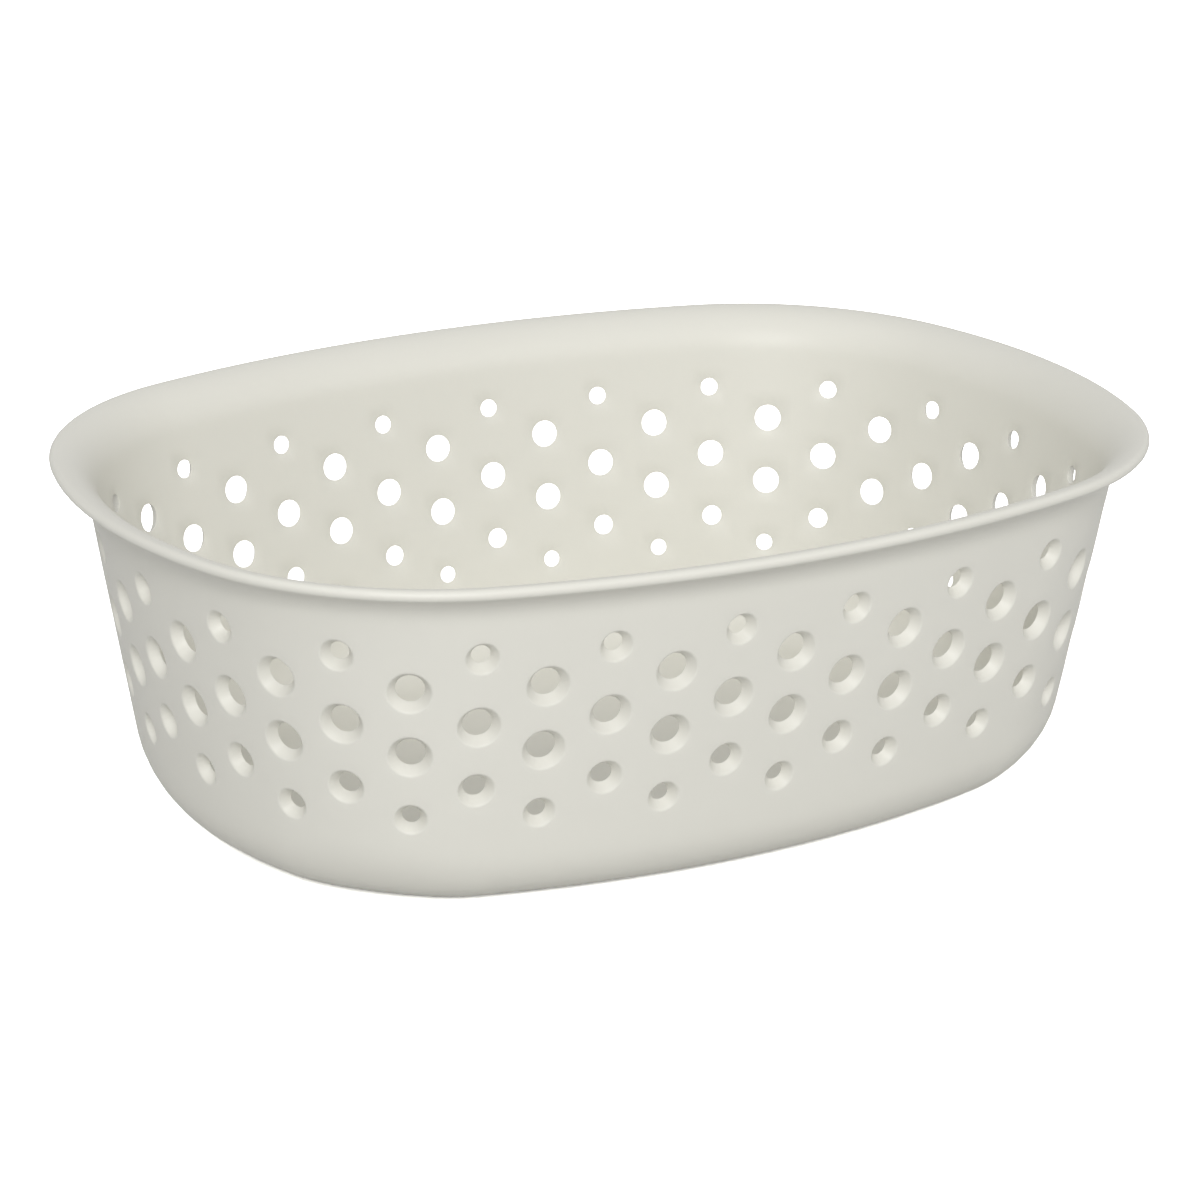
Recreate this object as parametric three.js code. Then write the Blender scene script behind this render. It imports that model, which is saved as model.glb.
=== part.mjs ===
// Oval perforated storage basket, moulded in one piece, in millimetres with +Z up.
// The moulding is divided into its rim, its wall, the rounded edge of its base and its floor.
import * as THREE from 'three';
import { mergeVertices } from 'three/addons/utils/BufferGeometryUtils.js';

// Outer size of the whole basket, measured over the lip of the rim.
const length = 305;
const width = 225;
const height = 99;

// The oval is made of tangent arcs. Its ends and its long sides are flat arcs, its corners are tight ones.
const cornerRadius = 81;
const halfEndTurn = THREE.MathUtils.degToRad(18);
const halfSideTurn = THREE.MathUtils.degToRad(15);

// The shell.
const wallThickness = 2.5;
const draft = THREE.MathUtils.degToRad(10);
const edgeRadius = 22;

// The rim flares out of the wall until it is almost level, and ends in a round lip.
const flareHeight = 11.5;
const rimOverhang = 7.7;
const flareCrease = THREE.MathUtils.degToRad(3);
const flareEndLean = THREE.MathUtils.degToRad(85);
const flareHandleShare = 0.59;
const lipRadius = 1.55;

// The holes stand in columns of three. Columns take turns between a low and a high set of rows.
const columnCount = 44;
const firstRowRise = 7.8;
const rowPitch = 18.6;
const rowStagger = 8.3;
const topRowPitch = 19.8;
const lowestHole = 4.8;
const mediumHole = 5.8;
const largeHole = 7.7;
const topHole = 5.1;
const holeFlare = 2.1;
const holeMargin = 0.35;

// Fineness of the curves.
const holeSides = 14;
const edgeSteps = 5;
const flareSteps = 6;
const lipSteps = 6;

const plastic = { color: 0xe2e1d9, roughness: 0.55, metalness: 0 };

const leanRun = Math.tan(draft);
const levelThickness = wallThickness / Math.cos(draft);
const wallFoot = edgeRadius;
const wallHead = height - flareHeight;
const lowestRow = wallFoot + firstRowRise;

// How far the wall's outer face stands inside the rim's edge at a height.
function wallInset(z) {
  return rimOverhang + leanRun * (height - z);
}

// Centres and radii of the rim's arcs, in the quarter where x and y are positive.
function ovalArcs() {
  const endPull = Math.tan(halfEndTurn / 2);
  const sidePull = Math.tan(halfSideTurn / 2);
  const reachX = length / 2 - cornerRadius;
  const reachY = width / 2 - cornerRadius;
  const cornerX = (reachX - reachY * endPull) / (1 - endPull * sidePull);
  const cornerY = reachY - cornerX * sidePull;
  const endRadius = cornerRadius + cornerY / Math.sin(halfEndTurn);
  const sideRadius = cornerRadius + cornerX / Math.sin(halfSideTurn);
  const quarterTurn = Math.PI / 2;
  const sideStart = quarterTurn - halfSideTurn;
  return [
    { x: length / 2 - endRadius, y: 0, radius: endRadius, from: 0, to: halfEndTurn },
    { x: cornerX, y: cornerY, radius: cornerRadius, from: halfEndTurn, to: sideStart },
    { x: 0, y: width / 2 - sideRadius, radius: sideRadius, from: sideStart, to: quarterTurn },
  ];
}

// The centre line of the base's rounded edge stands inside the rim's edge by this.
const edgeInset = wallInset(edgeRadius) + edgeRadius / Math.cos(draft);

// Runs round the wall are measured at the middle row of the low columns.
const arcs = ovalArcs();
const arcRuns = arcs.map((arc) => (arc.radius - wallInset(lowestRow + rowPitch)) * (arc.to - arc.from));
const quarterRun = arcRuns.reduce((sum, run) => sum + run);

// The station at a run measured round the wall: a point of the rim's edge and the outward normal there.
function stationAt(run) {
  const quarter = Math.floor(run / quarterRun);
  const within = run - quarter * quarterRun;
  let left = quarter % 2 === 0 ? within : quarterRun - within;
  let index = 0;
  while (index < arcs.length - 1 && left > arcRuns[index]) {
    left -= arcRuns[index];
    index += 1;
  }
  const arc = arcs[index];
  const angle = arc.from + (arc.to - arc.from) * (left / arcRuns[index]);
  const signX = quarter % 4 === 0 || quarter % 4 === 3 ? 1 : -1;
  const signY = quarter % 4 < 2 ? 1 : -1;
  const normal = new THREE.Vector2(signX * Math.cos(angle), signY * Math.sin(angle));
  const edge = new THREE.Vector2(signX * arc.x, signY * arc.y).addScaledVector(normal, arc.radius);
  return { edge, normal };
}

// A point of the shell at a station, an inset from the rim's edge and a height.
function shellPoint(station, inset, z) {
  const flat = station.edge.clone().addScaledVector(station.normal, -inset);
  return new THREE.Vector3(flat.x, flat.y, z);
}

// Each column of holes has a flat facet that its widest hole fits, with a narrow facet to the next column.
const columnRun = (4 * quarterRun) / columnCount;
const facetHalf = largeHole / 2 + holeFlare + holeMargin;
const stations = [];
for (let column = 0; column < columnCount; column += 1) {
  stations.push(stationAt(((column + columnCount) * columnRun - facetHalf) % (4 * quarterRun)));
  stations.push(stationAt(column * columnRun + facetHalf));
}

// A closed mesh that joins rings of points, with a cap on each end ring or joined end to start.
function ringSolid(rings, closed) {
  const count = rings[0].length;
  const positions = [];
  const triangle = (a, b, c) => positions.push(...a, ...b, ...c);
  const joins = closed ? rings.length : rings.length - 1;
  for (let ring = 0; ring < joins; ring += 1) {
    const low = rings[ring];
    const high = rings[(ring + 1) % rings.length];
    for (let i = 0; i < count; i += 1) {
      const j = (i + 1) % count;
      triangle(low[i], low[j], high[j]);
      triangle(low[i], high[j], high[i]);
    }
  }
  if (!closed) {
    const first = rings[0];
    const last = rings[rings.length - 1];
    for (let i = 1; i < count - 1; i += 1) {
      triangle(first[0], first[i + 1], first[i]);
      triangle(last[0], last[i], last[i + 1]);
    }
  }
  const geometry = new THREE.BufferGeometry();
  geometry.setAttribute('position', new THREE.Float32BufferAttribute(positions, 3));
  return mergeVertices(geometry);
}

// Sweeps a section, a list of insets and heights, round the oval.
function sweep(section, closed) {
  const ring = ([inset, z]) => stations.map((station) => shellPoint(station, inset, z).toArray());
  return ringSolid(section.map(ring), closed);
}

// The flat floor, out to where the base's edge starts to turn up.
function floorGeometry() {
  return sweep([[edgeInset, 0], [edgeInset, wallThickness]], false);
}

// The rounded edge that turns up from the floor into the wall.
function edgeGeometry() {
  const arc = (radius) => {
    const points = [];
    for (let step = 0; step <= edgeSteps; step += 1) {
      const angle = (Math.PI / 2 - draft) * (step / edgeSteps);
      points.push([edgeInset - radius * Math.sin(angle), edgeRadius - radius * Math.cos(angle)]);
    }
    return points;
  };
  return sweep([
    ...arc(edgeRadius),
    [wallInset(wallFoot), wallFoot],
    [wallInset(wallFoot) + levelThickness, wallFoot],
    ...arc(edgeRadius - wallThickness).reverse(),
  ], true);
}

// The heights and bores of one column's holes. A row that would run into the rim is left out.
// Low columns stand in the middle of the long sides, high ones in the middle of the ends.
function columnHoles(isLow) {
  const start = lowestRow + rowStagger;
  const holes = isLow ? [
    [lowestRow, lowestHole],
    [lowestRow + rowPitch, largeHole],
    [lowestRow + 2 * rowPitch, largeHole],
  ] : [
    [start, mediumHole],
    [start + rowPitch, largeHole],
    [start + rowPitch + topRowPitch, topHole],
  ];
  return holes.filter(([z, bore]) => z + bore / 2 + holeFlare + holeMargin < wallHead);
}

// A ring of points round a hole's mouth, in a plane through its middle.
function holeRing(middle, across, up, radius) {
  const ring = [];
  for (let side = 0; side < holeSides; side += 1) {
    const angle = (2 * Math.PI * side) / holeSides;
    const point = middle.clone().addScaledVector(across, radius * Math.cos(angle));
    ring.push(point.addScaledVector(up, radius * Math.sin(angle)));
  }
  return ring;
}

// Fills a flat face between its four corners, round the rings of its holes.
function pushFace(push, corners, rings, across, up, flip) {
  const flatten = (point) => new THREE.Vector2(point.dot(across), point.dot(up));
  const points = [...corners, ...rings.flat()];
  const gaps = rings.map((ring) => ring.map(flatten));
  const faces = THREE.ShapeUtils.triangulateShape(corners.map(flatten), gaps);
  for (const [a, b, c] of faces) {
    const turn = flatten(points[b]).sub(flatten(points[a])).cross(flatten(points[c]).sub(flatten(points[a])));
    const outward = turn > 0 !== flip;
    push(points[a], outward ? points[b] : points[c], outward ? points[c] : points[b]);
  }
}

// The facet of one column, with its holes narrow at the inner face and flared at the outer one.
function pushColumn(push, left, right, holes) {
  const head = wallInset(wallHead);
  const foot = wallInset(wallFoot);
  const outer = [shellPoint(left, foot, wallFoot), shellPoint(right, foot, wallFoot),
    shellPoint(right, head, wallHead), shellPoint(left, head, wallHead)];
  const inner = [shellPoint(left, foot + levelThickness, wallFoot),
    shellPoint(right, foot + levelThickness, wallFoot),
    shellPoint(right, head + levelThickness, wallHead),
    shellPoint(left, head + levelThickness, wallHead)];
  const low = outer[0].clone().lerp(outer[1], 0.5);
  const high = outer[3].clone().lerp(outer[2], 0.5);
  const across = outer[1].clone().sub(outer[0]).normalize();
  const up = high.clone().sub(low).normalize();
  const out = new THREE.Vector3().crossVectors(across, up);
  const mouths = [];
  const throats = [];
  for (const [z, bore] of holes) {
    const middle = low.clone().lerp(high, (z - wallFoot) / (wallHead - wallFoot));
    mouths.push(holeRing(middle, across, up, bore / 2 + holeFlare));
    throats.push(holeRing(middle.addScaledVector(out, -wallThickness), across, up, bore / 2));
  }
  pushFace(push, outer, mouths, across, up, false);
  pushFace(push, inner, throats, across, up, true);
  mouths.forEach((mouth, hole) => {
    for (let i = 0; i < holeSides; i += 1) {
      const j = (i + 1) % holeSides;
      push(mouth[i], mouth[j], throats[hole][j]);
      push(mouth[i], throats[hole][j], throats[hole][i]);
    }
  });
}

// The level strip that closes the band between its faces at its head or its foot.
function pushLevelStrip(push, from, to, z, facesUp) {
  const inset = wallInset(z);
  const corners = [shellPoint(from, inset, z), shellPoint(to, inset, z),
    shellPoint(to, inset + levelThickness, z), shellPoint(from, inset + levelThickness, z)];
  const [a, b, c, d] = facesUp ? corners : [...corners].reverse();
  push(a, b, c);
  push(a, c, d);
}

// The leaning band between the base and the rim, with its columns of holes.
function wallGeometry() {
  const positions = [];
  const push = (...corners) => corners.forEach((corner) => positions.push(corner.x, corner.y, corner.z));
  for (let column = 0; column < columnCount; column += 1) {
    const left = stations[2 * column];
    const right = stations[2 * column + 1];
    const next = stations[(2 * column + 2) % stations.length];
    pushColumn(push, left, right, columnHoles(column % 2 === 1));
    pushColumn(push, right, next, []);
    for (const [from, to] of [[left, right], [right, next]]) {
      pushLevelStrip(push, from, to, wallHead, true);
      pushLevelStrip(push, from, to, wallFoot, false);
    }
  }
  const geometry = new THREE.BufferGeometry();
  geometry.setAttribute('position', new THREE.Float32BufferAttribute(positions, 3));
  return mergeVertices(geometry);
}

// The flare's middle line, from the middle of the wall's head to the centre of the lip.
function flareCurve() {
  const start = new THREE.Vector2(wallInset(wallHead) + levelThickness / 2, wallHead);
  const end = new THREE.Vector2(lipRadius, height - lipRadius);
  const way = (lean) => new THREE.Vector2(-Math.sin(lean), Math.cos(lean));
  const startWay = way(draft + flareCrease);
  const endWay = way(flareEndLean);
  const gap = end.clone().sub(start);
  const turn = startWay.cross(endWay);
  const startHandle = start.clone().addScaledVector(startWay, (flareHandleShare * gap.cross(endWay)) / turn);
  const endHandle = end.clone().addScaledVector(endWay, (-flareHandleShare * startWay.cross(gap)) / turn);
  return new THREE.CubicBezierCurve(start, startHandle, endHandle, end);
}

// The flare, which thickens a little towards its edge, and the round lip along it.
function rimGeometry() {
  const curve = flareCurve();
  const outside = [];
  const inside = [];
  for (let step = 1; step <= flareSteps; step += 1) {
    const share = step / flareSteps;
    const along = curve.getTangent(share);
    const half = THREE.MathUtils.lerp(wallThickness / 2, lipRadius, share);
    const side = new THREE.Vector2(along.y, -along.x).multiplyScalar(half);
    outside.push(curve.getPoint(share).sub(side).toArray());
    inside.push(curve.getPoint(share).add(side).toArray());
  }
  const lip = [];
  for (let step = 1; step < lipSteps; step += 1) {
    const turn = flareEndLean + Math.PI * (1 - step / lipSteps);
    lip.push([lipRadius * (1 + Math.cos(turn)), height - lipRadius * (1 - Math.sin(turn))]);
  }
  return sweep([
    [wallInset(wallHead), wallHead],
    ...outside,
    ...lip,
    ...inside.reverse(),
    [wallInset(wallHead) + levelThickness, wallHead],
  ], true);
}

function region(name, geometry) {
  geometry.computeVertexNormals();
  const mesh = new THREE.Mesh(geometry, new THREE.MeshStandardMaterial(plastic));
  mesh.name = name;
  return mesh;
}

const basket = new THREE.Group();
basket.add(region('floor', floorGeometry()));
basket.add(region('base_edge', edgeGeometry()));
basket.add(region('wall', wallGeometry()));
basket.add(region('rim', rimGeometry()));

export default basket;
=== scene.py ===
from math import atan2, copysign, cos, floor, hypot, pi, radians, sin, tan

import bmesh
import bpy
from mathutils import Matrix, Vector


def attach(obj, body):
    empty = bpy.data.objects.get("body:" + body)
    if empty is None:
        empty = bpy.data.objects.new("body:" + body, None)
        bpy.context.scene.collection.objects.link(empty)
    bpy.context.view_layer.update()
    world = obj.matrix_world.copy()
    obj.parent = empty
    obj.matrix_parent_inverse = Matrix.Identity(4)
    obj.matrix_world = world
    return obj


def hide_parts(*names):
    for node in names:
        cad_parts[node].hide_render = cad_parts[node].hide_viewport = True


# An oval storage basket, moulded in one piece: floor, leaning wall with flared holes, flared rim with lip.
# Lengths are in metres. The frame's four solids are regions of the one moulding that is modelled here.
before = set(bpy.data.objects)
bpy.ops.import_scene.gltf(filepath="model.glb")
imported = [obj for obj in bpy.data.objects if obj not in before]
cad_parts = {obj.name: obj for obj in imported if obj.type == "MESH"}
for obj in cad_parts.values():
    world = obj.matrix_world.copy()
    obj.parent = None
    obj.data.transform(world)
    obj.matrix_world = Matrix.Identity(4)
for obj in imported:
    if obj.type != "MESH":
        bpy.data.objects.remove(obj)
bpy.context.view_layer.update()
scene = bpy.context.scene

# Sizes of the basket and its plan

basket = {
    "length": 0.305,
    "width": 0.225,
    "height": 0.099,
    "cornerRadius": 0.081,
    "halfEndTurn": radians(18),  # half of what each flat end turns through
    "halfSideTurn": radians(15),  # and each flat long side
    "thickness": 0.003,
    "lean": radians(10),  # the wall's draft
    "overhang": 0.0077,  # from the wall's line out to the lip's edge
    "flareHeight": 0.0115,
    "wallFoot": 0.022,  # height at which the wall's strip of holes starts
    "edgeRadius": 0.0203,  # the base's rounded edge, outside, along the flat sides
    "columns": 44,  # of holes
    "measuredAt": 0.0484,  # height at which columns stand a true pitch apart
}

samePlace = 1e-6  # points closer than this are one point
thickness = basket["thickness"]
lean = basket["lean"]
wallFoot = basket["wallFoot"]
wallHead = basket["height"] - basket["flareHeight"]


def wallInset(height):
    # how far the wall's outer face stands inside the rim's edge
    return basket["overhang"] + tan(lean) * (basket["height"] - height)


# Insets and heights of the ends of the wall's outer face, and the way straight through the wall
outerFoot = Vector((wallInset(wallFoot), wallFoot))
outerHead = Vector((wallInset(wallHead), wallHead))
inwards = Vector((cos(lean), sin(lean)))


def quarterArcs():
    # the rim's tangent arcs in one quarter, from an end's tip to the middle of a long side
    endTurn, sideTurn, corner = basket["halfEndTurn"], basket["halfSideTurn"], basket["cornerRadius"]
    endPull, sidePull = tan(endTurn / 2), tan(sideTurn / 2)
    reachX = basket["length"] / 2 - corner
    reachY = basket["width"] / 2 - corner
    cornerX = (reachX - reachY * endPull) / (1 - endPull * sidePull)
    cornerY = reachY - cornerX * sidePull
    endRadius = corner + cornerY / sin(endTurn)
    sideRadius = corner + cornerX / sin(sideTurn)
    return [
        (Vector((basket["length"] / 2 - endRadius, 0)), endRadius, 0, endTurn),
        (Vector((cornerX, cornerY)), corner, endTurn, pi / 2 - sideTurn),
        (Vector((0, basket["width"] / 2 - sideRadius)), sideRadius, pi / 2 - sideTurn, pi / 2),
    ]


arcs = quarterArcs()
measuredInset = wallInset(basket["measuredAt"])
arcRuns = [(radius - measuredInset) * (end - start) for middle, radius, start, end in arcs]
quarterRun = sum(arcRuns)
columnRun = 4 * quarterRun / basket["columns"]


def stationAt(run):
    # the rim's edge, its outward normal and its radius at a run round the basket
    quarter = floor(run / quarterRun)
    left = run - quarter * quarterRun
    if quarter % 2 == 1:
        left = quarterRun - left
    place = 0
    while place < 2 and left > arcRuns[place]:
        left -= arcRuns[place]
        place += 1
    middle, radius, start, end = arcs[place]
    angle = start + (end - start) * left / arcRuns[place]
    sides = Vector((1 if quarter % 4 in (0, 3) else -1, 1 if quarter % 4 < 2 else -1))
    normal = Vector((cos(angle), sin(angle))) * sides
    return middle * sides + normal * radius, normal, radius


def drawOn(bm, border):
    # a row of faces on free edges, with its new points still in their old places
    grown = bmesh.ops.extrude_edge_only(bm, edges=border)["geom"]
    verts = [part for part in grown if isinstance(part, bmesh.types.BMVert)]
    return verts, [part for part in grown if isinstance(part, bmesh.types.BMEdge)]


# Wall: a flat strip of two columns of holes, with x along the run, y as the depth and z up the slope

wall = {
    "firstRow": 0.0298,  # heights of the rows
    "rowPitch": 0.0186,
    "rowStagger": 0.0083,
    "topRowPitch": 0.0198,
    "lowest": 0.0048,  # bores
    "medium": 0.0058,
    "large": 0.0077,
    "top": 0.0051,
    "flare": 0.002,  # how far the cone of a mouth spreads beyond the bore
    "mouthRound": 0.0009,  # the soft round where the cone meets the outer face
    "mouthSteps": 4,
    "land": 0.0002,  # the short straight bore at the inner face
    "landEase": 0.00004,
    "innerEdge": 0.00015,  # the small round of the bore's inner edge
    "innerMiddle": 0.3,  # the share of it by which its middle point stands off the bore and the face
    "across": 12,  # faces across a column
    "upward": 42,  # and from the foot to the head
    "roundZone": 0.0066,  # half width of a column that keeps its holes round
    "startTurn": 0.01,  # a hair's turn, so that a hole's first point sorts first
}

slope = (wallHead - wallFoot) / cos(lean)


def holeRows():
    # place across the strip, height and bore of each hole, with half the count of faces cut out for it
    low = wall["firstRow"]
    high = low + wall["rowStagger"]
    return [
        (0, high, wall["medium"], 4),
        (0, high + wall["rowPitch"], wall["large"], 4),
        (0, high + wall["rowPitch"] + wall["topRowPitch"], wall["top"], 3),
        (columnRun, low, wall["lowest"], 3),
        (columnRun, low + wall["rowPitch"], wall["large"], 4),
        (columnRun, low + 2 * wall["rowPitch"], wall["large"], 4),
    ]


def addSheet(bm, depth):
    upright = Matrix.Translation((columnRun / 2, depth, slope / 2)) @ Matrix.Rotation(pi / 2, 4, "X")
    size = Matrix.Diagonal((columnRun, slope / 2, 1, 1))
    bmesh.ops.create_grid(bm, x_segments=2 * wall["across"], y_segments=wall["upward"], size=1,
                          matrix=upright @ size)


def cutHole(bm, middle, radius, halfBlock):
    # a block of faces goes out of the sheet, and what is left of its border is rounded to a circle
    cellX = columnRun / wall["across"]
    cellZ = slope / wall["upward"]
    blockMiddle = Vector((middle.x, middle.y, round(middle.z / cellZ) * cellZ))
    block = []
    for face in bm.faces:
        away = face.calc_center_median() - blockMiddle
        if abs(away.y) < samePlace and abs(away.x) < halfBlock * cellX and abs(away.z) < halfBlock * cellZ:
            block.append(face)
    inside = set(block)
    edges = {edge for face in block for edge in face.edges}
    border = [edge for edge in edges if len(inside.intersection(edge.link_faces)) == 1]
    bmesh.ops.delete(bm, geom=block, context="FACES")

    def turnOf(vert):
        turn = atan2(vert.co.z - blockMiddle.z, vert.co.x - middle.x)
        return (turn + wall["startTurn"]) % (2 * pi)

    ring = sorted({vert for edge in border for vert in edge.verts}, key=turnOf)
    for place, vert in enumerate(ring):
        angle = 2 * pi * place / len(ring)
        vert.co = middle + radius * Vector((cos(angle), 0, sin(angle)))
    return border


def lineHole(bm, border, middle, radius, section):
    # the border is drawn inwards through the section's radii and depths
    depth = 0
    for nextRadius, nextDepth in section:
        verts, border = drawOn(bm, border)
        share = nextRadius / radius
        bmesh.ops.scale(bm, verts=verts, vec=(share, 1, share), space=Matrix.Translation(-middle))
        bmesh.ops.translate(bm, verts=verts, vec=(0, nextDepth - depth, 0))
        radius, depth = nextRadius, nextDepth


coneTurn = atan2(thickness - wall["land"], wall["flare"] - wall["landEase"])
mouthSpread = wall["flare"] + wall["mouthRound"] * tan(coneTurn / 2)


def holeSection(bore):
    # radii and depths from the outer face over the mouth's round, down the cone and out to the inner face
    section = []
    half, edge, soft = bore / 2, wall["innerEdge"], wall["mouthRound"]
    offEdge = edge * wall["innerMiddle"]
    for step in range(1, wall["mouthSteps"] + 1):
        turn = coneTurn * step / wall["mouthSteps"]
        section.append((half + mouthSpread - soft * sin(turn), soft * (1 - cos(turn))))
    section.append((half + wall["landEase"], thickness - wall["land"]))
    section.append((half, thickness - wall["land"] / 2))
    section.append((half + offEdge, thickness - offEdge))
    section.append((half + edge, thickness))
    return section


def makeWallStrip():
    bm = bmesh.new()
    addSheet(bm, 0)
    for across, height, bore, halfBlock in holeRows():
        middle = Vector((across, 0, (height - wallFoot) / cos(lean)))
        mouth = bore / 2 + mouthSpread
        border = cutHole(bm, middle, mouth, halfBlock)
        lineHole(bm, border, middle, mouth, holeSection(bore))
    addSheet(bm, thickness)
    for across, height, bore, halfBlock in holeRows():
        middle = Vector((across, thickness, (height - wallFoot) / cos(lean)))
        cutHole(bm, middle, bore / 2 + wall["innerEdge"], halfBlock)
    bmesh.ops.remove_doubles(bm, verts=bm.verts, dist=samePlace)
    # lean it back: y becomes the inset from the rim's edge, z the height
    bmesh.ops.rotate(bm, verts=bm.verts, cent=(0, 0, 0), matrix=Matrix.Rotation(lean, 3, "X"))
    bmesh.ops.translate(bm, verts=bm.verts, vec=(0, *outerFoot))
    return bm


# Rim: a flare that bends outwards from the wall until it is almost level, with a full round along its edge

rim = {
    "crease": radians(3),  # the flare starts with a slight turn away from the wall
    "endLean": radians(85),
    "pull": 0.59,  # how far the curve's handles reach towards the corner of its tangents
    "flareSteps": 12,
    "lipRadius": 0.00155,
    "lipSteps": 10,
    "nudge": 0.001,  # along the curve and back, for its direction at a point
}


def wayAt(turn):
    return Vector((-sin(turn), cos(turn)))


def curvePoint(knots, share):
    rest = 1 - share
    start, startHandle, endHandle, end = knots
    ends = start * rest ** 3 + end * share ** 3
    return ends + 3 * share * rest * (startHandle * rest + endHandle * share)


def rimPath():
    # insets and heights from the wall's outer face, up under the flare, round the lip and down inside
    start = outerHead + thickness / 2 * inwards
    end = Vector((rim["lipRadius"], basket["height"] - rim["lipRadius"]))
    startWay, endWay = wayAt(lean + rim["crease"]), wayAt(rim["endLean"])
    turn = startWay.cross(endWay)
    startReach = (end - start).cross(endWay) / turn
    endReach = startWay.cross(end - start) / turn
    knots = (start, start + startWay * startReach * rim["pull"], end - endWay * endReach * rim["pull"], end)
    outside, inside = [], []
    for step in range(1, rim["flareSteps"] + 1):
        share = step / rim["flareSteps"]
        way = (curvePoint(knots, share + rim["nudge"]) - curvePoint(knots, share - rim["nudge"])).normalized()
        half = thickness / 2 + (rim["lipRadius"] - thickness / 2) * share
        side = half * Vector((way.y, -way.x))
        outside.append(curvePoint(knots, share) - side)
        inside.append(curvePoint(knots, share) + side)
    lip = []
    for step in range(1, rim["lipSteps"]):
        turn = rim["endLean"] + pi * (1 - step / rim["lipSteps"])
        lip.append(end + rim["lipRadius"] * Vector((cos(turn), sin(turn))))
    return outside + lip + inside[::-1] + [outerHead + thickness * inwards]


# Base: a rounded edge under the wall, then a flat floor

base = {
    "edgeSteps": 10,
    "floorRing": 0.012,  # a flat ring between the rounded edge and the floor's fill
}


def edgeMiddle(radius):
    # inset and height of the middle of a base edge of that outside radius
    return Vector((wallInset(radius) + radius / cos(lean), radius))


def basePath(radius):
    # insets and heights from the wall down round the edge and in along the floor
    middle = edgeMiddle(basket["edgeRadius"])
    path = []
    for step in range(base["edgeSteps"] + 1):
        turn = lean + (pi / 2 - lean) * step / base["edgeSteps"]
        path.append(middle - radius * Vector((cos(turn), sin(turn))))
    path.append(path[-1] + Vector((base["floorRing"], 0)))
    return path


def sweepBorder(bm, place, path):
    # the row of free edges at a place is drawn along a path of insets and heights
    border = []
    for edge in bm.edges:
        aways = [hypot(vert.co.y - place.x, vert.co.z - place.y) for vert in edge.verts]
        if edge.is_boundary and max(aways) < samePlace:
            border.append(edge)
    for point in path:
        verts, border = drawOn(bm, border)
        bmesh.ops.translate(bm, verts=verts, vec=(0, point.x - place.x, point.y - place.y))
        place = point


# The moulding isn't quite even round its plan

uneven = {
    "cornerEdge": 0.0048,  # what the base edge's radius gains at the corners
    "baseBelow": 0.001,  # points this far under the wall's foot are the base's
    "cornerLean": radians(0.3),  # how much more the wall leans at the corners, below a height
    "endLean": radians(0.22),  # and at the ends
    "leanFrom": 0.066,  # that height
    "endReach": 0.0005,  # how far the rim's ends stand out beyond the even rim
    "endDip": 0.0006,  # and how far they hang below it
}


def roundMore(point, gain):
    # moves a point of the base to an edge whose radius has grown
    before, after = edgeMiddle(basket["edgeRadius"]), edgeMiddle(basket["edgeRadius"] + gain)
    away = point - before
    if away.x > 0:
        return point + Vector((after.x - before.x, 0))
    return after + away.normalized() * (away.length + gain)


def unevenPoint(inset, height, normal):
    point = Vector((inset, height))
    corner, end = (2 * normal.x * normal.y) ** 2, normal.x ** 2
    if height < wallFoot - uneven["baseBelow"]:
        point = roundMore(point, uneven["cornerEdge"] * corner)
    if height > wallHead:
        share = end ** 2 * (height - wallHead) / basket["flareHeight"]
        point -= share * Vector((uneven["endReach"], uneven["endDip"]))
    furtherLean = uneven["cornerLean"] * corner + uneven["endLean"] * end
    point.x += tan(furtherLean) * max(uneven["leanFrom"] - height, 0)
    return point


def bendStrip(verts, pair):
    # from the flat strip to the oval, with the middle of each column kept true so that its holes stay round
    insetRange = (wallInset(wallHead), wallInset(wallFoot) + thickness)
    half, zone = columnRun / 2, wall["roundZone"]
    for vert in verts:
        column = min(max(floor(vert.co.x / columnRun + 0.5), 0), 1)
        aside = vert.co.x - column * columnRun
        middleRun = (2 * pair + column) * columnRun
        radius = stationAt(middleRun)[2]
        inset = min(max(vert.co.y, insetRange[0]), insetRange[1])
        trueZone = zone * (radius - measuredInset) / (radius - inset)
        near = min(abs(aside), zone)
        far = abs(aside) - near
        moved = near * trueZone / zone + far * (half - trueZone) / (half - zone)
        edge, normal, radius = stationAt((middleRun + copysign(moved, aside)) % (4 * quarterRun))
        point = unevenPoint(vert.co.y, vert.co.z, normal)
        spot = edge - normal * point.x
        vert.co = (spot.x, spot.y, point.y)


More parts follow.
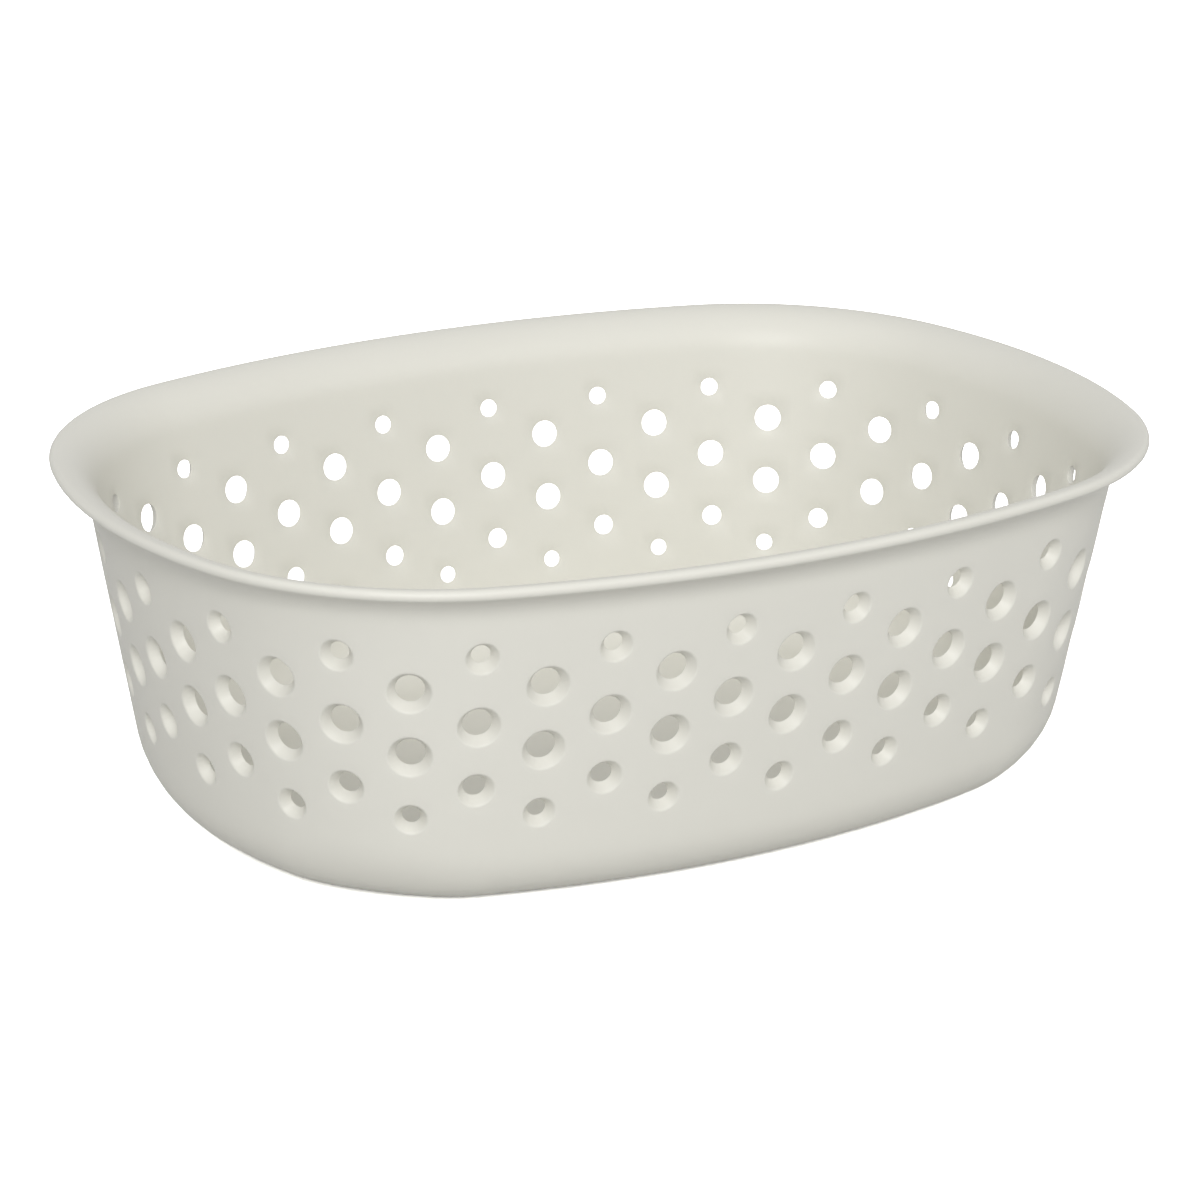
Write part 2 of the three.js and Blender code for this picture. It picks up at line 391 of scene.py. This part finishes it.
def makeShell():
    strip = makeWallStrip()
    sweepBorder(strip, outerHead, rimPath())
    sweepBorder(strip, outerFoot, basePath(basket["edgeRadius"]))
    sweepBorder(strip, outerFoot + thickness * inwards, basePath(basket["edgeRadius"] - thickness))
    stripMesh = bpy.data.meshes.new("strip")
    strip.to_mesh(stripMesh)
    strip.free()
    print("strip of two columns:", len(stripMesh.polygons), "faces")

    shell = bmesh.new()
    for pair in range(basket["columns"] // 2):
        start = len(shell.verts)
        shell.from_mesh(stripMesh)
        shell.verts.ensure_lookup_table()
        bendStrip(shell.verts[start:], pair)
    bpy.data.meshes.remove(stripMesh)
    bmesh.ops.remove_doubles(shell, verts=shell.verts, dist=2 * samePlace)
    free = [edge for edge in shell.edges if edge.is_boundary]
    bmesh.ops.edgeloop_fill(shell, edges=free)
    bmesh.ops.recalc_face_normals(shell, faces=shell.faces)
    for face in shell.faces:
        face.smooth = True
    triangles = sum(len(face.verts) - 2 for face in shell.faces)
    openEdges = len([edge for edge in shell.edges if not edge.is_manifold])
    print("shell:", triangles, "triangles,", openEdges, "open edges,",
          round(shell.calc_volume() * 1e6, 1), "cubic centimetres")
    mesh = bpy.data.meshes.new("basketShell")
    shell.to_mesh(mesh)
    shell.free()
    piece = bpy.data.objects.new("basketShell", mesh)
    scene.collection.objects.link(piece)
    return piece


# Finish of the plastic

plastic = {
    "colour": (0.765, 0.755, 0.69),
    "shade": (0.735, 0.725, 0.66),  # the tone it drifts to
    "driftScale": 14,  # features per metre
    "driftDetail": 3,
    "roughness": (0.42, 0.54),
    "grainScale": 2600,
    "grainDetail": 2,
    "grainDepth": 0.000012,
    "waveScale": 55,  # the slight unevenness of a moulded face
    "waveDetail": 1,
    "waveDepth": 0.00006,
    "ior": 1.49,
}


def addNoise(nodes, links, source, scale, detail):
    noise = nodes.new("ShaderNodeTexNoise")
    noise.inputs["Scale"].default_value = scale
    noise.inputs["Detail"].default_value = detail
    links.new(source, noise.inputs["Vector"])
    return noise.outputs["Fac"]


def addMix(nodes, links, factor, colour):
    # towards a colour by the factor; the caller gives what it starts from
    mix = nodes.new("ShaderNodeMix")
    mix.data_type = "RGBA"
    mix.inputs["B"].default_value = (*colour, 1)
    links.new(factor, mix.inputs["Factor"])
    return mix


def addBump(nodes, links, height, depth):
    bump = nodes.new("ShaderNodeBump")
    bump.inputs["Strength"].default_value = 1
    bump.inputs["Distance"].default_value = depth
    links.new(height, bump.inputs["Height"])
    return bump


def makePlastic():
    material = bpy.data.materials.new("mouldedPlastic")
    material.use_nodes = True
    nodes, links = material.node_tree.nodes, material.node_tree.links
    surface = nodes["Principled BSDF"]
    surface.inputs["IOR"].default_value = plastic["ior"]
    place = nodes.new("ShaderNodeTexCoord").outputs["Object"]

    drift = addNoise(nodes, links, place, plastic["driftScale"], plastic["driftDetail"])
    tone = addMix(nodes, links, drift, plastic["colour"])
    tone.inputs["A"].default_value = (*plastic["shade"], 1)
    links.new(tone.outputs["Result"], surface.inputs["Base Color"])

    grain = addNoise(nodes, links, place, plastic["grainScale"], plastic["grainDetail"])
    gloss = nodes.new("ShaderNodeMapRange")
    gloss.inputs["To Min"].default_value = plastic["roughness"][0]
    gloss.inputs["To Max"].default_value = plastic["roughness"][1]
    links.new(grain, gloss.inputs["Value"])
    links.new(gloss.outputs["Result"], surface.inputs["Roughness"])

    wave = addNoise(nodes, links, place, plastic["waveScale"], plastic["waveDetail"])
    waveBump = addBump(nodes, links, wave, plastic["waveDepth"])
    grainBump = addBump(nodes, links, grain, plastic["grainDepth"])
    links.new(waveBump.outputs["Normal"], grainBump.inputs["Normal"])
    links.new(grainBump.outputs["Normal"], surface.inputs["Normal"])
    return material


shell = makeShell()
shell.data.materials.append(makePlastic())
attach(shell, "root")
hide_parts("rim", "wall", "base_edge", "floor")
print("basket done")

# Studio

studio = {
    "floorSize": 6,
    "floorDrop": 0.0003,
    "floorSeen": (4, 4, 4),  # to the camera, so that only the contact shadow is darker than white
    "floorMirrored": (1, 1, 1),  # in gloss
    "floorColour": (0.63, 0.63, 0.63),  # to the light that it throws back
    "ambient": 0.42,
    "lampAim": Vector((0, 0, 0.05)),
}


def anyRay(nodes, links, names):
    # 1 for rays of the named kinds
    rays = nodes.new("ShaderNodeLightPath")
    total = rays.outputs[names[0]]
    for name in names[1:]:
        join = nodes.new("ShaderNodeMath")
        join.operation = "MAXIMUM"
        links.new(total, join.inputs[0])
        links.new(rays.outputs[name], join.inputs[1])
        total = join.outputs[0]
    return total


def makeFloor():
    bm = bmesh.new()
    bmesh.ops.create_grid(bm, x_segments=1, y_segments=1, size=studio["floorSize"] / 2,
                          matrix=Matrix.Translation((0, 0, -studio["floorDrop"])))
    mesh = bpy.data.meshes.new("studioFloor")
    bm.to_mesh(mesh)
    bm.free()
    ground = bpy.data.objects.new("studioFloor", mesh)
    scene.collection.objects.link(ground)
    material = bpy.data.materials.new("whiteFloor")
    material.use_nodes = True
    nodes, links = material.node_tree.nodes, material.node_tree.links
    nodes.remove(nodes["Principled BSDF"])
    matt = nodes.new("ShaderNodeBsdfDiffuse")
    glossRays = anyRay(nodes, links, ("Is Glossy Ray", "Is Transmission Ray"))
    mirrored = addMix(nodes, links, glossRays, studio["floorMirrored"])
    mirrored.inputs["A"].default_value = (*studio["floorColour"], 1)
    seen = addMix(nodes, links, anyRay(nodes, links, ("Is Camera Ray",)), studio["floorSeen"])
    links.new(mirrored.outputs["Result"], seen.inputs["A"])
    links.new(seen.outputs["Result"], matt.inputs["Color"])
    links.new(matt.outputs["BSDF"], nodes["Material Output"].inputs["Surface"])
    mesh.materials.append(material)


def makeWorld():
    world = bpy.data.worlds.new("studioWorld")
    world.use_nodes = True
    nodes, links = world.node_tree.nodes, world.node_tree.links
    background = nodes["Background"]
    background.inputs["Color"].default_value = (1, 1, 1, 1)
    level = nodes.new("ShaderNodeMapRange")
    level.inputs["To Min"].default_value = studio["ambient"]
    level.inputs["To Max"].default_value = 1
    eyeRays = ("Is Camera Ray", "Is Glossy Ray", "Is Transmission Ray")
    links.new(anyRay(nodes, links, eyeRays), level.inputs["Value"])
    links.new(level.outputs["Result"], background.inputs["Strength"])
    scene.world = world


lamps = {
    "front": {"azimuth": -31, "elevation": 30, "distance": 4, "size": 1.4, "power": 78.5},
    "right": {"azimuth": 29, "elevation": 30, "distance": 4, "size": 1.4, "power": 18.5},
    "leftHigh": {"azimuth": -91, "elevation": 58, "distance": 4, "size": 2.2, "power": 15},
}


def towards(azimuth, elevation):
    # the direction of view from the front, turned by the azimuth and looking down by the elevation
    return Vector((-sin(azimuth) * cos(elevation), cos(azimuth) * cos(elevation), -sin(elevation)))


def makeLamp(name, values):
    lamp = bpy.data.lights.new(name, "AREA")
    lamp.shape = "DISK"
    lamp.size = values["size"]
    lamp.energy = values["power"]
    holder = bpy.data.objects.new(name, lamp)
    look = towards(radians(values["azimuth"]), radians(values["elevation"]))
    holder.rotation_euler = look.to_track_quat("-Z", "Y").to_euler()
    holder.location = studio["lampAim"] - look * values["distance"]
    scene.collection.objects.link(holder)


camera = {
    "lens": 142.46,
    "sensor": 36,
    "azimuth": radians(-30.795),
    "elevation": radians(19.6515),
    "roll": radians(0.991),
    "distance": 1.32625,
    "target": Vector((0, 0, 0.04415)),
    "shift": (-0.0022, 0.01714),  # the target falls beside the middle of the frame
    "clip": (0.05, 20),
}


def makeCamera():
    data = bpy.data.cameras.new("camera")
    data.lens = camera["lens"]
    data.sensor_width = camera["sensor"]
    data.shift_x, data.shift_y = camera["shift"]
    data.clip_start, data.clip_end = camera["clip"]
    eye = bpy.data.objects.new("camera", data)
    look = towards(camera["azimuth"], camera["elevation"])
    right = look.cross(Vector((0, 0, 1))).normalized()
    up = right.cross(look)
    axes = Matrix((right, up, -look)).transposed() @ Matrix.Rotation(camera["roll"], 3, "Z")
    eye.matrix_world = Matrix.Translation(camera["target"] - look * camera["distance"]) @ axes.to_4x4()
    scene.collection.objects.link(eye)
    scene.camera = eye


makeFloor()
makeWorld()
for name, values in lamps.items():
    makeLamp(name, values)
makeCamera()
scene.view_settings.view_transform = "Standard"
print("studio done")
